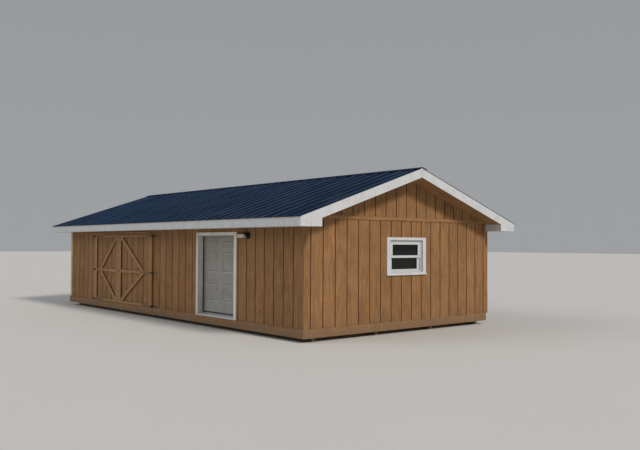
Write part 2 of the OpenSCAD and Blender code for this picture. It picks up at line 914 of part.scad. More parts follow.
// Round base with an arm that turns to the left over the lamp head
module flood_light() {
    base_r = 78;
    base_t = 40;
    arm_len = 290;
    arm_z = 50;
    arm_h = 18;
    arm_d = 45;
    head_x = [-330, -75];
    head_z = [-50, 40];
    head_out = 95;
    color("#2a2a2c") translate([light_x, -face_y, light_z]) {
        rotate([90, 0, 0]) cylinder(r = base_r, h = base_t);
        block([-arm_len, -base_t - arm_d, arm_z], [20, -base_t + 2, arm_z + arm_h]);
        block([-40, -base_t - arm_d, 0], [20, -base_t + 2, arm_z + arm_h]);
        block([head_x[0], -head_out, head_z[0]], [head_x[1], -20, head_z[1]]);
        block([-arm_len + 20, -60, head_z[1] - 1], [-arm_len + 80, -40, arm_z + 1]);
    }
}

skids();
floor_frame();
floor_deck();
skirt_boards();
front_wall_frame();
door_headers();
front_siding();
siding_over_doors();
back_wall_frame();
back_siding();
end_wall_frames();
window_wall_siding();
plain_end_siding();
gable_siding();
belt_boards();
rafters_front();
rafters_back();
ridge_board();
ceiling_ties();
roof_deck();
metal_roof();
ridge_cap();
fascia_boards();
rake_boards();
rake_feet();
eave_soffits();
eave_returns();
gable_soffits();
window_casing();
window_frame();
window_sashes();
window_glass();
entry_casing_boards();
entry_frame();
entry_sill();
entry_leaf();
entry_knobs();
entry_hinges_frame();
entry_hinges_leaf();
barn_panel(-1);  // barn_panel_left
barn_trim(-1);  // barn_trim_left
barn_straps(-1);  // barn_straps_left
barn_panel(1);  // barn_panel_right
barn_trim(1);  // barn_trim_right
barn_straps(1);  // barn_straps_right
barn_hinge_plates();
barn_head_board();
flood_light();
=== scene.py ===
# Timber boathouse: stained grooved plywood, painted trim boards and a ribbed metal roof.
import math
import random

import bmesh
import bpy
from mathutils import Matrix, Vector


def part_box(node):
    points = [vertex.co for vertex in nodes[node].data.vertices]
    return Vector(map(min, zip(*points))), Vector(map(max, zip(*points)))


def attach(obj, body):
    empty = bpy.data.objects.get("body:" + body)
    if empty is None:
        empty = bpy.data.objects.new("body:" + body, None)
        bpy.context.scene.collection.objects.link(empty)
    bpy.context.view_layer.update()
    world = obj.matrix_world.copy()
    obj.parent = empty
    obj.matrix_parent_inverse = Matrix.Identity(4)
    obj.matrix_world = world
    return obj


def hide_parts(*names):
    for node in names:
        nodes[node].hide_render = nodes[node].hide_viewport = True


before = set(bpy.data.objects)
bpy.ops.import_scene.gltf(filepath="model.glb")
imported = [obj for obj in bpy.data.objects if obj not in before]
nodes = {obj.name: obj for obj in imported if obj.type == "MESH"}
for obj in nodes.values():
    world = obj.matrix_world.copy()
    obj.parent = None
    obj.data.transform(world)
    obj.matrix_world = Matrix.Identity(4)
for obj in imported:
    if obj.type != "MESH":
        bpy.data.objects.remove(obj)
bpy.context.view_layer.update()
luck = random.Random(41)
print("frame loaded:", len(nodes), "nodes")


# Shader helpers: put adds a node, calc does a sum, span is a smooth step, tint mixes colours
# and over lays a tone on a colour by a share of a mask

def feed(tree, node, inputs):
    for socket, value in inputs.items():
        if isinstance(value, bpy.types.NodeSocket):
            tree.links.new(value, node.inputs[socket])
        else:
            node.inputs[socket].default_value = value
    return node


def put(tree, kind, inputs=None, **settings):
    node = tree.nodes.new("ShaderNode" + kind)
    for key, value in settings.items():
        setattr(node, key, value)
    return feed(tree, node, inputs or {})


def calc(tree, operation, *values):
    return put(tree, "Math", dict(enumerate(values)), operation=operation).outputs[0]


def times(tree, first, second):
    return calc(tree, "MULTIPLY", first, second)


def plus(tree, first, second):
    return calc(tree, "ADD", first, second)


def span(tree, value, low, high, toLow=0.0, toHigh=1.0):
    inputs = {0: value, 1: low, 2: high, 3: toLow, 4: toHigh}
    return put(tree, "MapRange", inputs, interpolation_type="SMOOTHSTEP").outputs[0]


def tint(tree, factor, first, second, mode="MIX"):
    inputs = {0: factor, 6: first, 7: second}
    return put(tree, "Mix", inputs, data_type="RGBA", blend_type=mode).outputs[2]


def over(tree, colour, tone, mask, share):
    return tint(tree, times(tree, mask, share), colour, tone)


def opaque(colour):
    return (*colour, 1.0)


def noise(tree, place, scale, detail=3.0, roughness=0.55, distortion=0.0):
    inputs = {"Vector": place, "Scale": scale, "Detail": detail, "Roughness": roughness,
              "Distortion": distortion}
    return put(tree, "TexNoise", inputs).outputs[0]


def stretch(tree, place, scale):
    return put(tree, "Mapping", {"Vector": place, "Scale": scale}).outputs[0]


def objectPlace(tree):
    return put(tree, "TexCoord").outputs["Object"]


def axes(tree, place):
    return put(tree, "SeparateXYZ", {0: place}).outputs


def vector(tree, x, y, z):
    return put(tree, "CombineXYZ", {0: x, 1: y, 2: z}).outputs[0]


def mirrored(tree, place):  # both slopes of the roof as one
    x, y, z = axes(tree, place)
    return vector(tree, x, calc(tree, "ABSOLUTE", y), z)


# Colour and a fine relief for the shader
def surface(tree, shader, colour, height, strength, distance=0.002):
    tree.links.new(colour, shader.inputs["Base Color"])
    bump = put(tree, "Bump", {"Height": height, "Strength": strength, "Distance": distance})
    tree.links.new(bump.outputs[0], shader.inputs["Normal"])


# Round spots, 1 in the middle of those cells whose own number is above rare
def knotMask(tree, place, cells, edge, channel, rare):
    spots = put(tree, "TexVoronoi", {"Vector": place, "Scale": cells})
    chosen = calc(tree, "GREATER_THAN", axes(tree, spots.outputs["Color"])[channel], rare)
    return times(tree, span(tree, spots.outputs["Distance"], *edge), chosen)


def newGroup(name, inputs, outputs):
    group = bpy.data.node_groups.new(name, "ShaderNodeTree")
    for way, sockets in (("INPUT", inputs), ("OUTPUT", outputs)):
        for label, kind in sockets.items():
            group.interface.new_socket(label, in_out=way, socket_type="NodeSocket" + kind)
    given = group.nodes.new("NodeGroupInput").outputs
    return group, given, group.nodes.new("NodeGroupOutput").inputs


def useGroup(tree, group, inputs):
    node = tree.nodes.new("ShaderNodeGroup")
    node.node_tree = group
    return feed(tree, node, inputs).outputs


def newMaterial(name, roughness=0.6, **fixed):
    material = bpy.data.materials.new(name)
    material.use_nodes = True
    shader = material.node_tree.nodes["Principled BSDF"]
    shader.inputs["Roughness"].default_value = roughness
    for label, value in fixed.items():
        shader.inputs[label.replace("_", " ")].default_value = value
    return material, material.node_tree, shader


def dress(material, *names):
    for name in names:
        data = nodes[name].data
        data.materials.clear()
        data.materials.append(material)


# Sawn wood: the grain runs along the third coordinate, Board is any number per board
woodGrain = {
    "fine": 210, "fineLong": 0.025, "fineShare": 0.48,
    "broad": 16, "broadLong": 0.12, "broadShare": 0.40,
    "figure": 9, "figureLong": 0.06, "figureShare": 0.12, "contrast": (0.31, 0.69),
    "shift": 7.0, "climb": 3.1, "tone": 0.70, "toneByBoard": 0.16, "toneByPatch": 0.46,
    "patch": 2.3, "red": (1.03, 0.98, 0.95, 1), "green": (0.99, 1.01, 1.0, 1),
    "knotCells": 2.6, "knotLong": 0.45, "knotEdge": (0.085, 0.03), "knotRare": 0.55,
    "knotShade": 0.75, "knotSunk": 0.3, "knotTone": (0.10, 0.045, 0.018, 1),
}


def makeWoodGroup():
    grain = woodGrain
    group, given, made = newGroup(
        "sawnWood",
        {"Place": "Vector", "Board": "Float", "Light": "Color", "Dark": "Color",
         "Knots": "Float"},
        {"Colour": "Color", "Height": "Float", "Streak": "Float"})
    board = given["Board"]
    draw = put(group, "TexWhiteNoise", {"W": board}, noise_dimensions="1D")
    shift = vector(group, times(group, draw.outputs[0], grain["shift"]), 0.0,
                   times(group, board, grain["climb"]))
    moved = put(group, "VectorMath", {0: given["Place"], 1: shift},
                operation="ADD").outputs[0]
    fine = noise(group, stretch(group, moved, (1, 1, grain["fineLong"])), grain["fine"], 4, 0.65)
    broad = noise(group, stretch(group, moved, (1, 1, grain["broadLong"])), grain["broad"],
                  3, 0.5, 0.6)
    figure = put(group, "TexWave", {"Vector": stretch(group, moved, (1, 1, grain["figureLong"])),
                                    "Scale": grain["figure"], "Distortion": 9, "Detail": 3,
                                    "Detail Scale": 1.6},
                 wave_type="BANDS", bands_direction="X").outputs[1]
    streak = plus(group, times(group, fine, grain["fineShare"]),
                  plus(group, times(group, broad, grain["broadShare"]),
                       times(group, figure, grain["figureShare"])))
    wood = tint(group, span(group, streak, *grain["contrast"]), given["Dark"],
                given["Light"])
    tone = plus(group, grain["tone"], times(group, draw.outputs[0], grain["toneByBoard"]))
    patch = noise(group, moved, grain["patch"], 2)
    tone = plus(group, tone, times(group, patch, grain["toneByPatch"]))
    wood = tint(group, 1.0, wood, vector(group, tone, tone, tone), "MULTIPLY")
    hue = tint(group, axes(group, draw.outputs[1])[1], grain["red"], grain["green"])
    wood = tint(group, 1.0, wood, hue, "MULTIPLY")
    knot = knotMask(group, stretch(group, moved, (1, 1, grain["knotLong"])), grain["knotCells"],
                    grain["knotEdge"], 0, grain["knotRare"])
    knot = times(group, knot, given["Knots"])
    wood = over(group, wood, grain["knotTone"], knot, grain["knotShade"])
    height = calc(group, "SUBTRACT", streak, times(group, knot, grain["knotSunk"]))
    for label, value in (("Colour", wood), ("Height", height), ("Streak", streak)):
        group.links.new(value, made[label])
    return group


# Rain splash and dust: Low is 1 at the ground, Grime a blotchy mask from the weather
weathering = {
    "splashFoot": 0.12, "ragged": 5, "raggedLong": 0.35, "raggedShare": 0.5,
    "runs": 24, "runsLong": 0.05, "runsEdge": (0.42, 0.75),
    "blotch": 3.5, "blotchEdge": (0.4, 0.7),
}


def makeWeatherGroup():
    group, given, made = newGroup(
        "weathering", {"Place": "Vector", "Reach": "Float"}, {"Low": "Float", "Grime": "Float"})
    place, reach = given["Place"], given["Reach"]
    ragged = noise(group, stretch(group, place, (1, 1, weathering["raggedLong"])),
                   weathering["ragged"], 4, 0.6)
    ragged = times(group, ragged, weathering["raggedShare"])
    level = plus(group, axes(group, place)[2], times(group, ragged, reach))
    low = span(group, level, weathering["splashFoot"], reach, 1.0, 0.0)
    runs = noise(group, stretch(group, place, (1, 1, weathering["runsLong"])),
                 weathering["runs"], 4, 0.6)
    blotch = noise(group, place, weathering["blotch"], 4, 0.6)
    grime = times(group, span(group, runs, *weathering["runsEdge"]),
                  span(group, blotch, *weathering["blotchEdge"]))
    group.links.new(low, made["Low"])
    group.links.new(grime, made["Grime"])
    return group


woodGroup = makeWoodGroup()
weatherGroup = makeWeatherGroup()


def sawn(tree, place, count, light, dark, knots):  # count tells one board from the next
    return useGroup(tree, woodGroup, {
        "Place": place, "Board": calc(tree, "FLOOR", count), "Light": light, "Dark": dark,
        "Knots": knots})


# Stained plywood siding: one material for each wall, for its own axis, face and grooves
stain = {
    "light": (0.334, 0.182, 0.077, 1), "dark": (0.182, 0.087, 0.033, 1),
    "pitch": 6.096 / 18,  # 18 boards over the width of the framing
    "groove": (0.034, 0.013, 0.005, 1), "grooveEdge": (0.0015, 0.004),
    "grooveFloor": (0.0095, 0.0085), "backFrom": (0.0095, 0.011),
    "backLight": (0.56, 0.41, 0.25, 1), "backDark": (0.40, 0.27, 0.15, 1),
    "backContrast": (0.28, 0.72),
    "soakAndShade": (0.085, 0.038, 0.016, 1), "soakAndShadeShare": 0.6, "soakAndShadeReach": (0.024, 0.008),
    "splash": (0.15, 0.105, 0.07, 1), "splashShare": 0.45, "splashReach": 0.75,
    "dirt": (0.20, 0.12, 0.065, 1), "dirtShare": 0.22,
}


# across is the wall's own axis, face its distance from the middle, start the place of a
# groove and side the wall's own side, or 0 for a wall at each end
def sidingMaterial(name, across, face, start, side=0):
    material, tree, shader = newMaterial(name, 0.78, Specular_IOR_Level=0.25)
    place = objectPlace(tree)
    parts = axes(tree, place)
    along, out = parts["XY".index(across)], parts["YX".index(across)]
    if side == 0:
        out = calc(tree, "ABSOLUTE", out)
    depth = calc(tree, "SUBTRACT", face, times(tree, out, side) if side else out)
    count = calc(tree, "DIVIDE", calc(tree, "SUBTRACT", along, start), stain["pitch"])
    wood = sawn(tree, vector(tree, along, out, parts[2]), count, stain["light"], stain["dark"],
                1.0)
    weather = useGroup(tree, weatherGroup, {"Place": place, "Reach": stain["splashReach"]})
    colour = over(tree, wood["Colour"], stain["splash"], weather["Low"], stain["splashShare"])
    colour = over(tree, colour, stain["dirt"], weather["Grime"], stain["dirtShare"])
    # Darker wood within a few millimetres of each groove: stain soaked into the edges, and
    # painted shade
    toGroove = times(tree, calc(tree, "PINGPONG", count, 0.5), stain["pitch"])
    soakAndShade = span(tree, toGroove, *stain["soakAndShadeReach"])
    colour = over(tree, colour, stain["soakAndShade"], soakAndShade, stain["soakAndShadeShare"])
    # Near-black in the grooves: dirt, and painted shade in the recess
    colour = over(tree, colour, stain["groove"], span(tree, depth, *stain["grooveEdge"]),
                  span(tree, depth, *stain["grooveFloor"]))
    bare = tint(tree, span(tree, wood["Streak"], *stain["backContrast"]), stain["backDark"],
                stain["backLight"])
    colour = tint(tree, span(tree, depth, *stain["backFrom"]), colour, bare)
    surface(tree, shader, colour, wood["Height"], 0.35)
    return material


wallFace = -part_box("front_siding")[0].y
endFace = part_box("window_wall_siding")[1].x
dress(sidingMaterial("frontPlywood", "X", wallFace, endFace, -1), "front_siding",
      "siding_over_doors")
dress(sidingMaterial("backPlywood", "X", wallFace, endFace, 1), "back_siding")
dress(sidingMaterial("endPlywood", "Y", endFace, stain["pitch"] / 2), "window_wall_siding",
      "plain_end_siding")
dress(sidingMaterial("gablePlywood", "Y", endFace, 0.0), "gable_siding")


# Paint on boards: worn to the wood on some streaks, dirty in runs, with knots bleeding through
# and, where a paint asks for it, a band of painted shade
paintWear = {
    "bareStreak": (0.33, 0.22), "bare": 9, "bareEdge": (0.5, 0.62), "cloud": 4,
    "dirt": (0.30, 0.28, 0.25, 1), "knotCells": 2.2, "knotEdge": (0.048, 0.025),
    "knotRare": 0.45, "knotShade": 0.75, "knotTone": (0.12, 0.085, 0.06, 1),
    "bandSoft": 0.006, "bandShade": 0.8, "relief": 0.12,
}


def paintOver(tree, place, turned, wood, grime, paint):
    wear = paintWear
    colour = tint(tree, noise(tree, turned, wear["cloud"]), paint["low"], paint["high"])
    colour = over(tree, colour, wood["Colour"], span(tree, wood["Streak"], *wear["bareStreak"]),
                  span(tree, noise(tree, place, wear["bare"]), *wear["bareEdge"]))
    colour = over(tree, colour, wear["dirt"], grime, paint["grime"])
    knot = knotMask(tree, turned, wear["knotCells"], wear["knotEdge"], 1, wear["knotRare"])
    colour = over(tree, colour, wear["knotTone"], knot, wear["knotShade"])
    # A shade band is painted shade: a darker stripe between two places across the board
    if "shadeBand" in paint:
        (start, end), soft = paint["shadeBand"], wear["bandSoft"]
        across = axes(tree, place)[0]
        shadeBand = times(tree, span(tree, across, start, start + soft),
                     span(tree, across, end, end - soft))
        colour = over(tree, colour, paint["shadeBandTone"], shadeBand, wear["bandShade"])
    return colour


# Boards: order says which object axes run across, through and along the grain, length is that
# of a board, low the share of the splash, and lean the slope of boards that follow the roof
def boardMaterial(name, order, light, dark, roughness=0.75, length=0.0, low=0.4, lean=0.0,
                  paint=None):
    material, tree, shader = newMaterial(name, roughness, Specular_IOR_Level=0.3)
    place = objectPlace(tree)
    turned = place
    if lean:
        turned = put(tree, "Mapping", {"Vector": mirrored(tree, place),
                                       "Rotation": (lean, 0, 0)}).outputs[0]
    parts = axes(tree, turned)
    grain = [parts["XYZ".index(axis)] for axis in order]
    count = calc(tree, "DIVIDE", grain[2], length) if length else times(tree, grain[0], 1.7)
    wood = sawn(tree, vector(tree, *grain), count, light, dark, 0.8)
    weather = useGroup(tree, weatherGroup, {"Place": place, "Reach": 0.7})
    colour = wood["Colour"]
    if paint:
        colour = paintOver(tree, place, turned, wood, weather["Grime"], paint)
    colour = over(tree, colour, stain["splash"], weather["Low"], low)
    surface(tree, shader, colour, wood["Height"], paintWear["relief"] if paint else 0.3)
    return material


roofRise = 0.335  # over a run of 1
roofAngle = math.atan(roofRise)
stock = {"board": 3.66, "belt": 3.05, "sheet": 2.44, "whole": 9.0}  # whole has no joint
trimTone = {"light": (0.356, 0.203, 0.092, 1), "dark": (0.214, 0.109, 0.043, 1)}
frameTone = {"light": (0.66, 0.49, 0.29, 1), "dark": (0.50, 0.33, 0.17, 1)}
deckTone = {"light": (0.60, 0.45, 0.27, 1), "dark": (0.46, 0.32, 0.18, 1)}
runnerTone = {"light": (0.15, 0.115, 0.08, 1), "dark": (0.07, 0.052, 0.036, 1)}
paintedTone = dict(frameTone, roughness=0.5)
dryTrim = dict(trimTone, low=0.0)
white = {"low": (0.52, 0.53, 0.54, 1), "high": (0.67, 0.68, 0.69, 1), "grime": 0.5}
dryWhite = dict(paintedTone, low=0.0, paint=white)
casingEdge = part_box("entry_casing_boards")[0].x
# The shade band of the cream paint is painted shade on the left casing's inner half
creamWhite = {"low": (0.64, 0.59, 0.53, 1), "high": (0.82, 0.77, 0.71, 1), "grime": 0.5,
              "shadeBand": (casingEdge + 0.051, casingEdge + 0.113),  # the left casing's inner half
              "shadeBandTone": (0.44, 0.425, 0.40, 1)}
jambGrey = {"low": (0.46, 0.455, 0.435, 1), "high": (0.82, 0.81, 0.78, 1), "grime": 0.8}

boardLooks = (
    ("skirtBoards", "ZYX", dict(trimTone, length=stock["board"], low=0.7), ["skirt_boards"]),
    ("runnerTimber", "ZYX", runnerTone, ["skids"]),
    ("floorFrame", "ZXY", frameTone, ["floor_frame"]),
    ("studTimber", "XYZ", frameTone, ["front_wall_frame", "back_wall_frame", "end_wall_frames"]),
    ("headerTimber", "ZYX", frameTone, ["door_headers", "ridge_board"]),
    ("rafterTimber", "ZXY", dict(frameTone, lean=roofAngle), ["rafters_front", "rafters_back"]),
    ("tieTimber", "ZXY", frameTone, ["ceiling_ties"]),
    ("deckPlywood", "YZX", dict(deckTone, length=stock["sheet"]), ["floor_deck", "roof_deck"]),
    ("beltBoards", "ZXY", dict(dryTrim, length=stock["belt"]), ["belt_boards"]),
    ("headBoard", "ZYX", dict(dryTrim, length=stock["board"]), ["barn_head_board"]),
    ("gableSoffits", "XZY", dict(dryTrim, lean=roofAngle), ["gable_soffits"]),
    ("whiteAlong", "ZYX", dict(dryWhite, length=stock["board"]),
     ["fascia_boards", "eave_soffits"]),
    ("whiteRake", "ZXY", dict(dryWhite, length=stock["whole"], lean=roofAngle),
     ["rake_boards", "rake_feet"]),
    ("returnBoards", "ZYX", dict(dryWhite, length=stock["whole"]), ["eave_returns"]),
    ("whiteUpright", "XYZ", dict(paintedTone, low=0.25, paint=white), ["window_casing"]),
    ("creamCasing", "XYZ", dict(paintedTone, low=0.25, paint=creamWhite),
     ["entry_casing_boards"]),
    ("greyJamb", "XYZ", dict(paintedTone, low=0.2, paint=jambGrey), ["entry_frame"]),
)
for name, order, look, pieces in boardLooks:
    dress(boardMaterial(name, order, **look), *pieces)
print("wood and paint done")


# Coil-coated roof sheet, with paler ribs (wear and painted highlight) and a darker line at the
# foot of each rib (dirt and painted shade)
roofPaint = {
    "base": (0.005, 0.013, 0.031, 1), "worn": (0.012, 0.029, 0.064, 1),
    "dust": (0.10, 0.10, 0.105, 1), "dustShare": 0.12, "ribPitch": 0.380,
    "rib": (0.049, 0.091, 0.170, 1), "ribReach": (0.021, 0.014),
    "foot": (0.002, 0.004, 0.009, 1), "footShare": 0.8, "footFrom": (0.018, 0.024),
    "footTo": (0.060, 0.028),
}


def roofMaterial(name, ribs=True):
    material, tree, shader = newMaterial(name, 0.4, Specular_IOR_Level=0.0, Coat_Weight=0.07,
                                         Coat_Roughness=0.2)
    paint, place = roofPaint, objectPlace(tree)
    runs = noise(tree, stretch(tree, mirrored(tree, place), (1, 0.04, 0.04)), 14, 4, 0.6)
    colour = tint(tree, span(tree, runs, 0.4, 0.7), paint["base"], paint["worn"])
    blotch = noise(tree, place, 1.6, 4, 0.6)
    colour = over(tree, colour, paint["dust"], span(tree, blotch, 0.5, 0.72), paint["dustShare"])
    if ribs:
        turns = calc(tree, "DIVIDE", axes(tree, place)[0], paint["ribPitch"])
        toRib = times(tree, calc(tree, "PINGPONG", turns, 0.5), paint["ribPitch"])
        # Paler ribs: wear and painted highlight
        colour = over(tree, colour, paint["rib"], span(tree, toRib, *paint["ribReach"]),
                      span(tree, runs, 0.25, 0.6, 0.3, 0.85))
        # Darker at the foot of each rib: dirt and painted shade
        foot = times(tree, span(tree, toRib, *paint["footFrom"]),
                     span(tree, toRib, *paint["footTo"]))
        colour = over(tree, colour, paint["foot"], foot, paint["footShare"])
    surface(tree, shader, colour, noise(tree, place, 3.2, 2), 0.25, 0.004)
    return material


ridgeSheet = roofMaterial("ridgeSheet", ribs=False)
dress(roofMaterial("roofSheet"), "metal_roof")
dress(ridgeSheet, "ridge_cap")


# Plain smooth finishes with a little wear: vinyl, metals, caulk, plastic and rubber
def smoothMaterial(name, base, worn, roughness, metallic=0.0, scale=14.0, **fixed):
    material, tree, shader = newMaterial(name, roughness, Metallic=metallic, **fixed)
    place = objectPlace(tree)
    cloud = noise(tree, place, scale, 4, 0.6)
    speck = noise(tree, place, scale * 9, 3, 0.6)
    colour = over(tree, opaque(base), opaque(worn), span(tree, cloud, 0.45, 0.7), 0.4)
    rough = plus(tree, roughness - 0.06, times(tree, speck, 0.16))
    tree.links.new(rough, shader.inputs["Roughness"])
    surface(tree, shader, colour, speck, 0.08, 0.001)
    return material


vinyl = smoothMaterial("windowVinyl", (0.57, 0.585, 0.585), (0.46, 0.465, 0.45), 0.35)
boltIron = smoothMaterial("boltIron", (0.085, 0.055, 0.036), (0.15, 0.085, 0.046), 0.6, 0.3)
zinc = smoothMaterial("zincPlate", (0.17, 0.155, 0.135), (0.10, 0.085, 0.07), 0.5, 0.5, 30)
caulk = smoothMaterial("windowCaulk", (0.40, 0.40, 0.385), (0.27, 0.27, 0.255), 0.6, 0.0, 20)
satin = smoothMaterial("satinMetal", (0.56, 0.54, 0.50), (0.42, 0.40, 0.36), 0.3, 1.0)
sillMetal = smoothMaterial("sillMetal", (0.70, 0.71, 0.71), (0.45, 0.44, 0.42), 0.4, 0.6)
blackPlastic = smoothMaterial("lampPlastic", (0.008, 0.008, 0.009), (0.025, 0.025, 0.025), 0.6,
                              Specular_IOR_Level=0.2)
lampPale = smoothMaterial("lampPale", (0.62, 0.55, 0.47), (0.45, 0.38, 0.30), 0.35)
sealRubber = smoothMaterial("sealRubber", (0.012, 0.012, 0.013), (0.04, 0.04, 0.04), 0.6)
nailSteel = smoothMaterial("nailSteel", (0.20, 0.16, 0.13), (0.28, 0.15, 0.08), 0.55, 0.6)


def glassMaterial():
    material, tree, shader = newMaterial("windowPane", 0.04, Specular_IOR_Level=0.3, Alpha=0.82)
    # Nearly black and mostly opaque: painted shade of the room behind the pane, with faint
    # smears
    smear = noise(tree, stretch(tree, objectPlace(tree), (1, 1, 0.5)), 5, 4, 0.6)
    colour = tint(tree, smear, (0.003, 0.004, 0.004, 1), (0.010, 0.012, 0.011, 1))
    tree.links.new(colour, shader.inputs["Base Color"])
    return material


# Band hinges: stained over with the wall, rusty round the pins
bandHinge = {
    "pins": (-4.140, -0.370), "rustReach": (0.075, 0.045), "rustRagged": 0.03,
    "light": (0.125, 0.077, 0.044, 1), "dark": (0.070, 0.042, 0.025, 1),
    "rust": (0.035, 0.021, 0.014, 1),
}


def bandMaterial():
    material, tree, shader = newMaterial("bandIron", 0.62, Specular_IOR_Level=0.3)
    place = objectPlace(tree)
    along = axes(tree, place)[0]
    near = [calc(tree, "ABSOLUTE", calc(tree, "SUBTRACT", along, pin))
            for pin in bandHinge["pins"]]
    cloud = noise(tree, place, 18, 4, 0.6)
    colour = tint(tree, span(tree, cloud, 0.4, 0.7), bandHinge["light"], bandHinge["dark"])
    toPin = plus(tree, calc(tree, "MINIMUM", *near), times(tree, cloud, bandHinge["rustRagged"]))
    colour = tint(tree, span(tree, toPin, *bandHinge["rustReach"]), colour, bandHinge["rust"])
    surface(tree, shader, colour, noise(tree, place, 160), 0.15, 0.001)
    return material


dress(vinyl, "window_frame", "window_sashes")
dress(glassMaterial(), "window_glass")
dress(satin, "entry_knobs", "entry_hinges_frame", "entry_hinges_leaf")
dress(sillMetal, "entry_sill")
dress(bandMaterial(), "barn_straps_left", "barn_straps_right", "barn_hinge_plates")
print("metal, glass and plastic done")


# Finished pieces: a bmesh becomes an object that rides on a body
def finishPiece(name, mesh, material, body="building", replaced=()):
    data = bpy.data.meshes.new(name)
    mesh.normal_update()
    mesh.to_mesh(data)
    mesh.free()
    data.materials.append(material)
    for face in data.polygons:
        face.use_smooth = False
    piece = bpy.data.objects.new(name, data)
    bpy.context.collection.objects.link(piece)
    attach(piece, body)
    if replaced:
        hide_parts(*replaced)


def addCube(mesh, size, middle):
    made = bmesh.ops.create_cube(mesh, size=1.0)["verts"]
    bmesh.ops.scale(mesh, vec=size, verts=made)
    bmesh.ops.translate(mesh, vec=middle, verts=made)
    return made


def once(parts):  # each part one time, in the order met
    return list(dict.fromkeys(parts))


def soften(mesh, edges, amount):
    bmesh.ops.bevel(mesh, geom=edges, offset=amount, offset_type="OFFSET", affect="EDGES",
                    segments=2, profile=0.5, material=-1, clamp_overlap=True)


def softenCorners(mesh, amount):
    mesh.normal_update()
    soften(mesh, [edge for edge in mesh.edges
                  if len(edge.link_faces) == 2 and edge.calc_face_angle(0) > 0.6], amount)


# Box between two corners, which may have softened edges
def addBlock(mesh, low, high, amount=0.0):
    low, high = Vector(low), Vector(high)
    made = addCube(mesh, high - low, (low + high) / 2)
    if amount:
        soften(mesh, once(edge for vert in made for edge in vert.link_edges), amount)


# Round heads of bolts, nails and screws, each narrower at the top
def addHead(mesh, place, normal, radius, rise, segments=6):
    made = bmesh.ops.create_cone(mesh, cap_ends=True, segments=segments, radius1=radius,
                                 radius2=radius * 0.55, depth=rise)["verts"]
    turn = Vector((0, 0, 1)).rotation_difference(Vector(normal)).to_matrix().to_4x4()
    middle = Vector(place) + Vector(normal) * rise / 2
    bmesh.ops.transform(mesh, verts=made, matrix=Matrix.Translation(middle) @ turn)


# Barn doors: loose boards laid as on the real leaves, each with its own grain
barnDoor = {
    "stile": 0.162, "rail": 0.080, "endRail": 0.074, "brace": 0.110, "thick": 0.032,
    "mid": 1.217, "braceTip": 0.24, "overrun": 0.1, "gap": 0.0012, "railBack": 0.001,
    "braceBack": 0.0005, "softEdge": 0.003,
    "light": (0.408, 0.233, 0.108, 1), "dark": (0.248, 0.129, 0.053, 1), "splash": 0.4,
    "edgeStainAndShade": (0.060, 0.026, 0.011, 1), "edgeStainAndShadeShare": 0.92, "outerEdgeStainAndShade": 0.25,
}


# Parts of a board outside a frame of two corners are cut away and the cuts closed
def cutBoard(mesh, made, low, high):
    for at, normal in ((low[0], (-1, 0, 0)), (high[0], (1, 0, 0)),
                       (low[1], (0, 0, -1)), (high[1], (0, 0, 1))):
        joined = [part for vert in made for part in (*vert.link_edges, *vert.link_faces)]
        point = (at, 0, 0) if normal[0] else (0, 0, at)
        cut = bmesh.ops.bisect_plane(mesh, geom=made + once(joined), plane_co=point,
                                     plane_no=normal, clear_outer=True)["geom_cut"]
        rim = [part for part in cut if isinstance(part, bmesh.types.BMEdge)]
        if rim:
            bmesh.ops.edgeloop_fill(mesh, edges=rim)
        corners = [part for part in cut if isinstance(part, bmesh.types.BMVert)]
        made = once(vert for vert in made + corners if vert.is_valid)


# Board from start to end, both (x, z), with its grain laid out at a place of its own
def addBoard(mesh, grain, start, end, width, faceY, thick, inside=None):
    run = Vector((end[0] - start[0], 0, end[1] - start[1]))
    made = addCube(mesh, (width, thick, run.length), (0, 0, 0))
    mesh.normal_update()
    offset = (luck.uniform(0, 20), luck.uniform(0, 20))
    sideLayer = mesh.faces.layers.float["boardSide"]
    for face in once(face for vert in made for face in vert.link_faces):
        face[sideLayer] = 1.0 if abs(face.normal.x) > 0.5 else 0.0
        for loop in face.loops:
            spot = loop.vert.co
            loop[grain].uv = (spot.x + spot.y + offset[0], spot.z + offset[1])
    turn = Matrix.Rotation(math.atan2(run.x, run.z), 4, "Y")
    middle = Vector(((start[0] + end[0]) / 2, faceY + thick / 2, (start[1] + end[1]) / 2))
    bmesh.ops.transform(mesh, matrix=Matrix.Translation(middle) @ turn, verts=made)
    if inside:
        cutBoard(mesh, made, *inside)


def barnBoardMaterial():
    material, tree, shader = newMaterial("barnDoorBoards", 0.75, Specular_IOR_Level=0.3)
    spot = axes(tree, put(tree, "UVMap", uv_map="grain").outputs[0])
    wood = sawn(tree, vector(tree, spot[0], 0.0, spot[1]), times(tree, spot[0], 1.3),
                barnDoor["light"], barnDoor["dark"], 0.8)
    weather = useGroup(tree, weatherGroup, {"Place": objectPlace(tree), "Reach": 0.7})
    colour = over(tree, wood["Colour"], stain["splash"], weather["Low"], barnDoor["splash"])
    # Side faces of the boards darker: stain taken up by the board edges, and painted shade
    side = put(tree, "Attribute", attribute_name="boardSide").outputs["Fac"]
    colour = over(tree, colour, barnDoor["edgeStainAndShade"], side, barnDoor["edgeStainAndShadeShare"])
    surface(tree, shader, colour, wood["Height"], 0.3)
    return material


barnBoards = barnBoardMaterial()


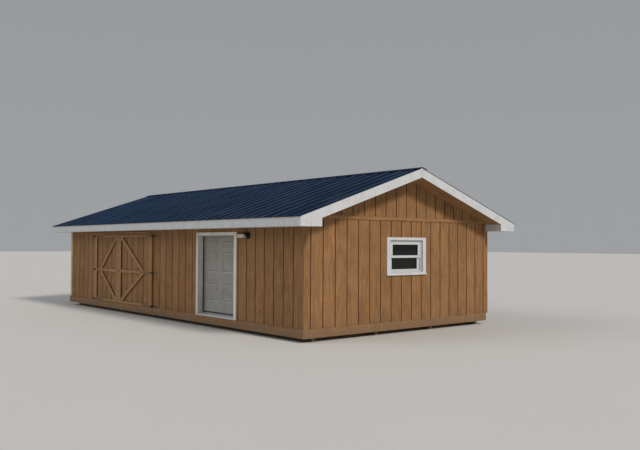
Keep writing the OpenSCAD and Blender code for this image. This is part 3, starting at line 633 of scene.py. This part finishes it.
def makeBarnTrim(side, tag):
    low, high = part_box("barn_trim_" + tag)
    x0, x1, z0, z1 = low.x, high.x, low.z, high.z
    faceY, thick, mid, gap = low.y, barnDoor["thick"], barnDoor["mid"], barnDoor["gap"]
    stile, rail, endRail = barnDoor["stile"], barnDoor["rail"], barnDoor["endRail"]
    mesh = bmesh.new()
    grain = mesh.loops.layers.uv.new("grain")
    mesh.faces.layers.float.new("boardSide")
    for x in (x0 + stile / 2, x1 - stile / 2):
        addBoard(mesh, grain, (x, z0), (x, z1), stile, faceY, thick)
    sideLayer = mesh.faces.layers.float["boardSide"]
    # The leaf's outer edges get a smaller share of that stain and painted shade
    for face in mesh.faces:
        spot = face.calc_center_median()
        if min(abs(spot.x - x0), abs(spot.x - x1)) < 0.002:
            face[sideLayer] = barnDoor["outerEdgeStainAndShade"]
    left, right = x0 + stile + gap, x1 - stile - gap
    for z, width in ((z0 + endRail / 2, endRail), (mid, rail), (z1 - endRail / 2, endRail)):
        addBoard(mesh, grain, (left, z), (right, z), width, faceY, thick - barnDoor["railBack"])
    hinge, meet = (x0, x1) if side < 0 else (x1, x0)
    tip = hinge - side * barnDoor["braceTip"] * (x1 - x0)
    foot = meet + side * stile
    upper = ((left, mid + rail / 2 + gap), (right, z1 - endRail - gap))
    lower = ((left, z0 + endRail + gap), (right, mid - rail / 2 - gap))
    for z, inside in ((z1 - endRail, upper), (z0 + endRail, lower)):
        run = Vector((tip - foot, mid - z)).normalized() * barnDoor["overrun"]
        addBoard(mesh, grain, (foot - run.x, z - run.y), (tip + run.x, mid + run.y),
                 barnDoor["brace"], faceY, thick - barnDoor["braceBack"], inside)
    softenCorners(mesh, barnDoor["softEdge"])
    finishPiece("barnBoards_" + tag, mesh, barnBoards, "barn_door_" + tag,
                ["barn_trim_" + tag])


for side, tag in ((-1, "left"), (1, "right")):
    makeBarnTrim(side, tag)
    low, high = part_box("barn_panel_" + tag)
    meet = high.x if side < 0 else low.x
    dress(sidingMaterial("leafPlywood_" + tag, "X", -low.y, meet - stain["pitch"] / 2, -1),
          "barn_panel_" + tag)
print("barn doors done")


# Door paint with pale dust and a painted highlight on ledges, dirt and painted shade under them,
# and yellowing towards the head
doorPaint = {
    "light": (0.285, 0.28, 0.26, 1), "dark": (0.235, 0.232, 0.215, 1),
    "yellow": (0.27, 0.245, 0.195, 1), "yellowShare": 0.5, "yellowReach": (1.2, 2.2),
    "ledgeDustAndHighlight": (0.44, 0.43, 0.40, 1), "ledgeDustAndHighlightShare": 0.8, "ledgeDustAndHighlightTilt": (0.15, 0.5),
    "under": (0.12, 0.115, 0.10, 1), "underShare": 0.7, "underTilt": (-0.15, -0.5),
    "dirt": (0.20, 0.19, 0.16, 1), "dirtShare": 0.25,
}


def doorSkinMaterial():
    material, tree, shader = newMaterial("doorSkin", 0.42)
    place = objectPlace(tree)
    # Faces turned up get pale dust and a painted highlight, faces turned down get dirt and
    # painted shade
    tilt = axes(tree, put(tree, "NewGeometry").outputs["Normal"])[2]
    weather = useGroup(tree, weatherGroup, {"Place": place, "Reach": 0.5})
    cloud = noise(tree, place, 5, 4, 0.6)
    colour = tint(tree, span(tree, cloud, 0.4, 0.7), doorPaint["light"], doorPaint["dark"])
    for tone, mask in (("yellow", span(tree, axes(tree, place)[2], *doorPaint["yellowReach"])),
                       ("ledgeDustAndHighlight", span(tree, tilt, *doorPaint["ledgeDustAndHighlightTilt"])),
                       ("under", span(tree, tilt, *doorPaint["underTilt"])),
                       ("dirt", weather["Grime"])):
        colour = over(tree, colour, doorPaint[tone], mask, doorPaint[tone + "Share"])
    rough = plus(tree, 0.38, times(tree, cloud, 0.18))
    tree.links.new(rough, shader.inputs["Roughness"])
    fine = noise(tree, stretch(tree, place, (1, 1, 0.08)), 160)
    surface(tree, shader, colour, fine, 0.15, 0.001)
    return material


# Entry leaf with six raised and fielded panels on both faces
entryDoor = {
    "stile": 0.265, "mullion": 0.190,
    "rows": ((0.280, 0.445), (0.980, 0.497), (1.556, 0.179)),  # foot over the leaf's, height
    "slope": 0.014, "sunk": 0.008, "flat": 0.014, "rise": 0.024, "riseShare": 0.8,
}


def cutThrough(mesh, at, normal):
    parts = list(mesh.verts) + list(mesh.edges) + list(mesh.faces)
    bmesh.ops.bisect_plane(mesh, geom=parts, plane_co=at, plane_no=normal)


def makeEntryLeaf():
    low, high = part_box("entry_leaf")
    mesh = bmesh.new()
    addBlock(mesh, low, high)
    panelWide = (high.x - low.x - 2 * entryDoor["stile"] - entryDoor["mullion"]) / 2
    columns = [low.x + entryDoor["stile"], high.x - entryDoor["stile"] - panelWide]
    for x in columns:
        cutThrough(mesh, (x, 0, 0), (1, 0, 0))
        cutThrough(mesh, (x + panelWide, 0, 0), (1, 0, 0))
    for foot, tall in entryDoor["rows"]:
        cutThrough(mesh, (0, 0, low.z + foot), (0, 0, 1))
        cutThrough(mesh, (0, 0, low.z + foot + tall), (0, 0, 1))
    mesh.normal_update()
    panels = []
    for face in mesh.faces:
        spot = face.calc_center_median()
        inColumn = any(x < spot.x < x + panelWide for x in columns)
        inRow = any(foot < spot.z - low.z < foot + tall for foot, tall in entryDoor["rows"])
        if abs(face.normal.y) > 0.9 and inColumn and inRow:
            panels.append(face)
    for wide, depth in ((entryDoor["slope"], -entryDoor["sunk"]), (entryDoor["flat"], 0.0),
                        (entryDoor["rise"], entryDoor["sunk"] * entryDoor["riseShare"])):
        bmesh.ops.inset_individual(mesh, faces=panels, thickness=wide, depth=depth,
                                   use_even_offset=True)
    finishPiece("entryLeafPanels", mesh, doorSkinMaterial(), "entry_door",
                ["entry_leaf"])


makeEntryLeaf()


# Black lip of the seal along the stops, partly a weatherstrip and partly painted shade in the
# gap beside the leaf, and the sweep at the foot of the leaf
doorSeals = {
    "jamb": 0.020, "stop": 0.012, "lip": 0.003, "front": 0.034, "back": 0.008, "drop": 0.004,
    "sweepIn": 0.016, "sweepTall": 0.026, "sweepProud": 0.003, "soft": 0.001,
}


def makeSeals():
    seal, soft = doorSeals, doorSeals["soft"]
    leafLow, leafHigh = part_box("entry_leaf")
    frameLow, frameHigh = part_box("entry_frame")
    front, back = leafLow.y - seal["front"], leafLow.y - seal["back"]
    left, right = frameLow.x + seal["jamb"], frameHigh.x - seal["jamb"]
    top = frameHigh.z - seal["jamb"]
    reach = seal["stop"] + seal["lip"]
    mesh = bmesh.new()
    for x, way in ((left, 1), (right, -1)):
        ends = sorted((x + way * seal["stop"], x + way * reach))
        addBlock(mesh, (ends[0], front, leafLow.z - seal["drop"]),
                 (ends[1], back, top - seal["stop"]), soft)
    addBlock(mesh, (left + reach, front + soft, top - reach),
             (right - reach, back, top - seal["stop"]), soft)
    finishPiece("doorSealAndGapShade", mesh, sealRubber)
    sweep = bmesh.new()
    addBlock(sweep, (leafLow.x + seal["sweepIn"], leafLow.y - seal["sweepProud"],
                     leafLow.z + soft),
             (leafHigh.x - seal["sweepIn"], leafLow.y, leafLow.z + seal["sweepTall"]), soft)
    finishPiece("doorSweep", sweep, sealRubber, "entry_door")


makeSeals()


# Outdoor lamp: black canopy, bracket and hood over a pale head, with corners of each box from
# the middle of the canopy's back
floodLamp = {
    "radius": 0.078, "depth": 0.040, "soft": 0.006, "lugSoft": 0.002,
    "profile": ((0.0, 1.0), (0.55, 0.97), (0.85, 0.80), (0.97, 0.45), (1.0, 0.1), (0.97, 0.0)),
    "bracket": ((-0.040, -0.085, 0.0), (0.020, -0.030, 0.066)),
    "hood": ((-0.288, -0.094, 0.040), (0.018, -0.024, 0.066)),
    "lugs": (((-0.245, -0.070, 0.026), (-0.223, -0.048, 0.046)),
             ((-0.150, -0.070, 0.026), (-0.128, -0.048, 0.046))),
    "head": ((-0.328, -0.093, -0.049), (-0.078, -0.022, 0.036)),
    "lensRims": ((0.010, 0.0), (0.003, -0.004)),
}


def makeLamp():
    low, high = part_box("flood_light")
    radius, depth, soft = floodLamp["radius"], floodLamp["depth"], floodLamp["soft"]
    centre = Vector((high.x - radius, high.y, low.z + radius))
    body, head = bmesh.new(), bmesh.new()
    points = [body.verts.new((centre.x + r * radius, centre.y - d * depth, centre.z))
              for r, d in floodLamp["profile"]]
    edges = [body.edges.new(pair) for pair in zip(points, points[1:])]
    bmesh.ops.spin(body, geom=points + edges, cent=centre, axis=(0, 1, 0), angle=2 * math.pi,
                   steps=28, use_merge=True)
    bmesh.ops.remove_doubles(body, verts=body.verts, dist=0.0002)
    bmesh.ops.recalc_face_normals(body, faces=body.faces)

    def addBox(mesh, corners, amount):
        addBlock(mesh, centre + Vector(corners[0]), centre + Vector(corners[1]), amount)

    addBox(body, floodLamp["bracket"], soft)
    addBox(body, floodLamp["hood"], soft)
    for lug in floodLamp["lugs"]:
        addBox(body, lug, floodLamp["lugSoft"])
    finishPiece("lampBody", body, blackPlastic, replaced=["flood_light"])
    addBox(head, floodLamp["head"], soft)
    lens = [face for face in head.faces if face.normal.y < -0.9 and face.calc_area() > 0.01]
    for wide, sunk in floodLamp["lensRims"]:
        bmesh.ops.inset_individual(head, faces=lens, thickness=wide, depth=sunk)
    finishPiece("lampHead", head, lampPale)


# Beads round the window's frame and sashes, gaskets round its panes, and two sash locks behind
# the glass. A ring is the face it lies on, how far it goes in and out, half its breadth, its
# foot and head, and its own width
windowParts = {
    "beads": ((6.083, 0.0, 0.004, 0.550, 1.377, 2.122, 0.0063),
              (6.076, 0.0, 0.003, 0.512, 1.770, 2.087, 0.0045),
              (6.045, 0.0, 0.003, 0.512, 1.407, 1.717, 0.0045)),
    "gaskets": ((6.076, 0.012, 0.0015, 0.424, 1.770, 2.022, 0.0045),
                (6.045, 0.012, 0.0015, 0.424, 1.455, 1.717, 0.0045)),
    "locks": ((6.045, -0.17, 1.770), (6.045, 0.10, 1.770)),
    "lockBase": ((-0.028, -0.030, 0.0), (-0.002, 0.030, 0.010), 0.002),
    "lockLever": ((-0.024, -0.012, 0.008), (-0.006, 0.038, 0.018), 0.003),
}


def addRing(mesh, face, inward, outward, half, foot, head, width):
    inner = half - width
    for y0, y1, z0, z1 in ((-half, -inner, foot, head), (inner, half, foot, head),
                           (-inner, inner, foot, foot + width),
                           (-inner, inner, head - width, head)):
        addBlock(mesh, (face - inward, y0, z0), (face + outward, y1, z1))


def makeWindowBeads():
    beads, gaskets, locks = bmesh.new(), bmesh.new(), bmesh.new()
    for ring in windowParts["beads"]:
        addRing(beads, *ring)
    for ring in windowParts["gaskets"]:
        addRing(gaskets, *ring)
    for place in windowParts["locks"]:
        for low, high, soft in (windowParts["lockBase"], windowParts["lockLever"]):
            addBlock(locks, Vector(place) + Vector(low), Vector(place) + Vector(high), soft)
    finishPiece("windowCaulking", beads, caulk)
    finishPiece("paneGaskets", gaskets, sealRubber)
    finishPiece("sashLocks", locks, blackPlastic)


makeWindowBeads()
makeLamp()
print("entry door, window beads and lamp done")


# Bolts of the band hinges, as distances from the pin along the strap or the wall plate
boltPlan = {
    "strap": (0.10, 0.24, 0.40, 0.56), "plate": (-0.045, -0.120, -0.205), "radius": 0.009,
    "rise": 0.005, "plateRadius": 0.0072, "plateRise": 0.004, "pinOut": 0.008,
    "strapThick": 0.0055, "plateFace": -3.069, "plateRows": (-0.015, 0.007), "inset": 0.036,
}


def makeBarnBolts():
    plan = boltPlan
    plates = bmesh.new()
    for side, tag in ((-1, "left"), (1, "right")):
        low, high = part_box("barn_panel_" + tag)
        hingeX = low.x - plan["pinOut"] if side < 0 else high.x + plan["pinOut"]
        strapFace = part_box("barn_trim_" + tag)[0].y - plan["strapThick"]
        mesh = bmesh.new()
        for z in (low.z + plan["inset"], barnDoor["mid"], high.z - plan["inset"]):
            for along in plan["strap"]:
                addHead(mesh, (hingeX - side * along, strapFace, z), (0, -1, 0),
                        plan["radius"], plan["rise"], 8)
            for along in plan["plate"]:
                for row in plan["plateRows"]:
                    addHead(plates, (hingeX - side * along, plan["plateFace"], z + row),
                            (0, -1, 0), plan["plateRadius"], plan["plateRise"], 8)
        finishPiece("strapBolts_" + tag, mesh, boltIron, "barn_door_" + tag)
    finishPiece("hingePlateBolts", plates, boltIron)


makeBarnBolts()


# Hasp on the left leaf and its staple on the right one, neither crossing the gap
haspPlan = {
    "plates": {"left": (-0.150, -0.002), "right": (0.010, 0.085)},  # ends from the meeting edge
    "thick": 0.004, "tall": 0.045, "soft": 0.0012, "screwIn": 0.014, "screwRise": 0.013,
    "screw": 0.005, "screwThick": 0.003, "wire": 0.004, "wireAt": 0.028, "wireMiddle": 0.040,
}


def makeHasp():
    plan = haspPlan
    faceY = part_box("barn_trim_left")[0].y
    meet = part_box("barn_panel_left")[1].x
    front, mid = faceY - plan["thick"], barnDoor["mid"]
    for tag, ends in plan["plates"].items():
        x0, x1 = meet + ends[0], meet + ends[1]
        mesh = bmesh.new()
        addCube(mesh, (x1 - x0, plan["thick"], plan["tall"]),
                ((x0 + x1) / 2, faceY - plan["thick"] / 2, mid))
        softenCorners(mesh, plan["soft"])
        for x in (x0 + plan["screwIn"], x1 - plan["screwIn"]):
            for rise in (-plan["screwRise"], plan["screwRise"]):
                addHead(mesh, (x, front, mid + rise), (0, -1, 0), plan["screw"],
                        plan["screwThick"], 8)
        if tag == "right":
            ring = bmesh.ops.create_circle(mesh, cap_ends=False, segments=10,
                                           radius=plan["wire"])["verts"]
            bmesh.ops.translate(mesh, vec=(x0 + plan["wireAt"], front, mid), verts=ring)
            edges = once(edge for vert in ring for edge in vert.link_edges)
            bmesh.ops.spin(mesh, geom=ring + edges, cent=(x0 + plan["wireMiddle"], front, mid),
                           axis=(0, 0, 1), angle=math.pi, steps=10)
        bmesh.ops.recalc_face_normals(mesh, faces=mesh.faces)
        finishPiece("hasp_" + tag, mesh, zinc, "barn_door_" + tag)


makeHasp()
print("door iron done")


# Roof screws beside the ribs, in rows up each slope, and on the ribs through the ridge cap
roofPlan = {
    "pitch": 0.380, "ribs": 17, "rows": (0.09, 0.70, 1.35, 2.0, 2.65, 3.30), "eave": 3.563,
    "besideRib": 0.045, "radius": 0.008, "rise": 0.005, "capScrew": 0.125, "sheet": 0.0031,
    "ridgeGap": 0.025, "closure": (0.328, 0.020, 0.0163), "closureIn": 0.022,
    "closureRise": 0.00835,
}
# Height at which the tops of the flat sheets would meet over the ridge
sheetPeak = (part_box("roof_deck")[1].z + roofPlan["ridgeGap"] * roofRise
             + roofPlan["sheet"] / math.cos(roofAngle))


def makeRoofScrews():
    ribs, capTop = roofPlan["ribs"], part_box("ridge_cap")[1].z
    mesh = bmesh.new()

    def addScrew(x, way, run, peak):
        normal = (0, way * math.sin(roofAngle), math.cos(roofAngle))
        addHead(mesh, (x, way * run, peak - run * roofRise), normal, roofPlan["radius"],
                roofPlan["rise"])

    for way in (-1, 1):
        for rib in range(-ribs, ribs):
            for row in roofPlan["rows"]:
                addScrew(rib * roofPlan["pitch"] + roofPlan["besideRib"], way,
                         roofPlan["eave"] - row * math.cos(roofAngle), sheetPeak)
    for way in (-1, 1):
        for rib in range(-ribs, ribs + 1):
            addScrew(rib * roofPlan["pitch"], way, roofPlan["capScrew"], capTop)
    finishPiece("roofScrews", mesh, ridgeSheet)


# Foam strips between the ribs under the edges of the ridge cap
def makeClosures():
    pitch, ribs = roofPlan["pitch"], roofPlan["ribs"]
    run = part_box("ridge_cap")[1].y - roofPlan["closureIn"]
    mesh = bmesh.new()
    for way in (-1, 1):
        turn = (Matrix.Translation((0, way * run, sheetPeak - run * roofRise))
                @ Matrix.Rotation(-way * roofAngle, 4, "X"))
        for bay in range(-ribs, ribs):
            middle = ((bay + 0.5) * pitch, 0, roofPlan["closureRise"])
            made = addCube(mesh, roofPlan["closure"], middle)
            bmesh.ops.transform(mesh, verts=made, matrix=turn)
    finishPiece("ridgeClosures", mesh, sealRubber)


makeRoofScrews()
makeClosures()


# Corner strip where the end siding laps the front at the far end, its pale colour a painted
# highlight on that edge
stripPlan = {"proud": 0.014, "wide": 0.110, "soft": 0.002,
             "light": (0.59, 0.44, 0.285, 1), "dark": (0.44, 0.30, 0.18, 1)}


def makeCornerStrip():
    low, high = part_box("front_siding")
    proud, soft = stripPlan["proud"], stripPlan["soft"]
    mesh = bmesh.new()
    addBlock(mesh, (low.x - proud, low.y - proud, low.z + soft),
             (low.x + stripPlan["wide"], low.y, high.z - soft), soft)
    stripHighlight = boardMaterial("paleStripHighlight", "XYZ", stripPlan["light"], stripPlan["dark"], low=0.1)
    finishPiece("cornerStrip", mesh, stripHighlight)


makeCornerStrip()


# Nail heads: fascia, rake, skirt and siding. The walls' rows leave out the doors and window
nailPlan = {
    "trim": (0.0055, 0.0012), "siding": (0.0042, 0.0010),  # radius and rise
    "fasciaPitch": 0.610, "fasciaRows": (0.035, 0.130), "astray": 0.02, "astrayUp": 0.008,
    "rakeStart": 0.18, "rakePitch": 0.36, "rakeDrops": (0.045, 0.150),
    "beside": 0.12, "skirtRow": 0.22, "rows": (0.34, 0.95, 1.55, 2.15), "endRow": 2.50,
    "barnDoors": (-4.5, -0.1), "entry": (1.88, 3.72), "window": 0.69, "windowRows": (1.3, 2.2),
}


def makeTrimNails():
    plan = nailPlan
    fascia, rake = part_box("fascia_boards"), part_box("rake_boards")
    stray, strayUp = plan["astray"], plan["astrayUp"]
    mesh = bmesh.new()
    for way in (-1, 1):
        for i in range(-10, 11):
            for row in plan["fasciaRows"]:
                x = i * plan["fasciaPitch"] + luck.uniform(-stray, stray)
                z = fascia[0].z + row + luck.uniform(-strayUp, strayUp)
                addHead(mesh, (x, way * fascia[1].y, z), (0, way, 0), *plan["trim"])
        for side in (-1, 1):
            for i in range(9):
                run = plan["rakeStart"] + i * plan["rakePitch"]
                for drop in plan["rakeDrops"]:
                    addHead(mesh, (way * rake[1].x, side * run,
                                   rake[1].z - run * roofRise - drop), (way, 0, 0),
                            *plan["trim"])
    finishPiece("trimNails", mesh, nailSteel)


def makeSidingNails():
    plan = nailPlan
    skirtFace = -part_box("skirt_boards")[0].y
    rows, beside = plan["rows"], (-plan["beside"], plan["beside"])
    doors = (plan["barnDoors"], plan["entry"])
    mesh = bmesh.new()
    for wall in (-1, 1):
        for i in range(36):
            for z in rows if wall > 0 else (plan["skirtRow"], *rows):
                onSkirt = z == plan["skirtRow"]
                face = skirtFace if onSkirt else wallFace
                for shift in beside:
                    x = endFace - (i + 0.5) * stain["pitch"] + shift
                    atDoor = any(start < x < end for start, end in doors)
                    if wall > 0 or onSkirt or not atDoor:
                        addHead(mesh, (x, wall * face, z), (0, wall, 0), *plan["siding"])
    for way in (-1, 1):
        for i in range(-9, 9):
            for z in (*rows, plan["endRow"]):
                for shift in beside:
                    y = (i + 0.5) * stain["pitch"] + shift
                    beneath, above = plan["windowRows"]
                    atWindow = abs(y) < plan["window"] and beneath < z < above
                    if way < 0 or not atWindow:
                        addHead(mesh, (way * endFace, y, z), (way, 0, 0), *plan["siding"])
    finishPiece("sidingNails", mesh, nailSteel)


makeTrimNails()
makeSidingNails()
print("roof screws, corner strip and nails done")


# Camera, floor and light

camera = {"place": (17.525, -12.357, 2.019), "yaw": 49.565, "pitch": 1.53, "roll": 0.263,
          "lens": 40.61, "sensor": 36, "reach": 400}
studio = {
    "key": 2.2, "keyTurn": (52, 0, 91), "keySpread": 12, "keyTone": (1.0, 0.95, 0.88),
    "fill": 0.7, "fillTurn": (58, 0, -32), "fillSpread": 40, "fillTone": (1.0, 0.98, 0.96),
    "skyLow": (0.60, 0.62, 0.64), "skyHigh": (0.50, 0.53, 0.58), "skyStrength": 0.56,
    "floor": (0.62, 0.61, 0.59), "floorReach": 160,
}


def setCamera():
    data = bpy.data.cameras.new("camera")
    data.sensor_width = camera["sensor"]
    data.lens = camera["lens"]
    data.clip_end = camera["reach"]
    shot = bpy.data.objects.new("camera", data)
    turn = (Matrix.Rotation(math.radians(camera["yaw"]), 4, "Z")
            @ Matrix.Rotation(math.radians(90 + camera["pitch"]), 4, "X")
            @ Matrix.Rotation(math.radians(camera["roll"]), 4, "Z"))
    shot.matrix_world = Matrix.Translation(camera["place"]) @ turn
    bpy.context.collection.objects.link(shot)
    bpy.context.scene.camera = shot


def makeFloor():
    mesh = bmesh.new()
    bmesh.ops.create_grid(mesh, x_segments=1, y_segments=1, size=studio["floorReach"])
    data = bpy.data.meshes.new("floor")
    mesh.to_mesh(data)
    mesh.free()
    material, tree, shader = newMaterial("floorCard", 0.8)
    shade = opaque([v * 0.97 for v in studio["floor"]])
    colour = tint(tree, noise(tree, objectPlace(tree), 0.4), shade, opaque(studio["floor"]))
    tree.links.new(colour, shader.inputs["Base Color"])
    data.materials.append(material)
    floor = bpy.data.objects.new("floor", data)
    bpy.context.collection.objects.link(floor)


def makeLight():
    for name in ("key", "fill"):
        lamp = bpy.data.lights.new(name, "SUN")
        lamp.energy = studio[name]
        lamp.angle = math.radians(studio[name + "Spread"])
        lamp.color = studio[name + "Tone"]
        holder = bpy.data.objects.new(name, lamp)
        holder.rotation_euler = [math.radians(v) for v in studio[name + "Turn"]]
        bpy.context.collection.objects.link(holder)
    world = bpy.data.worlds.new("studio")
    world.use_nodes = True
    tree = world.node_tree
    up = axes(tree, put(tree, "TexCoord").outputs["Generated"])[2]
    sky = tint(tree, span(tree, up, 0.0, 0.7), opaque(studio["skyLow"]),
               opaque(studio["skyHigh"]))
    back = tree.nodes["Background"]
    tree.links.new(sky, back.inputs["Color"])
    back.inputs["Strength"].default_value = studio["skyStrength"]
    bpy.context.scene.world = world
    bpy.context.scene.view_settings.view_transform = "Standard"


setCamera()
makeFloor()
makeLight()
print("camera, floor and light done")
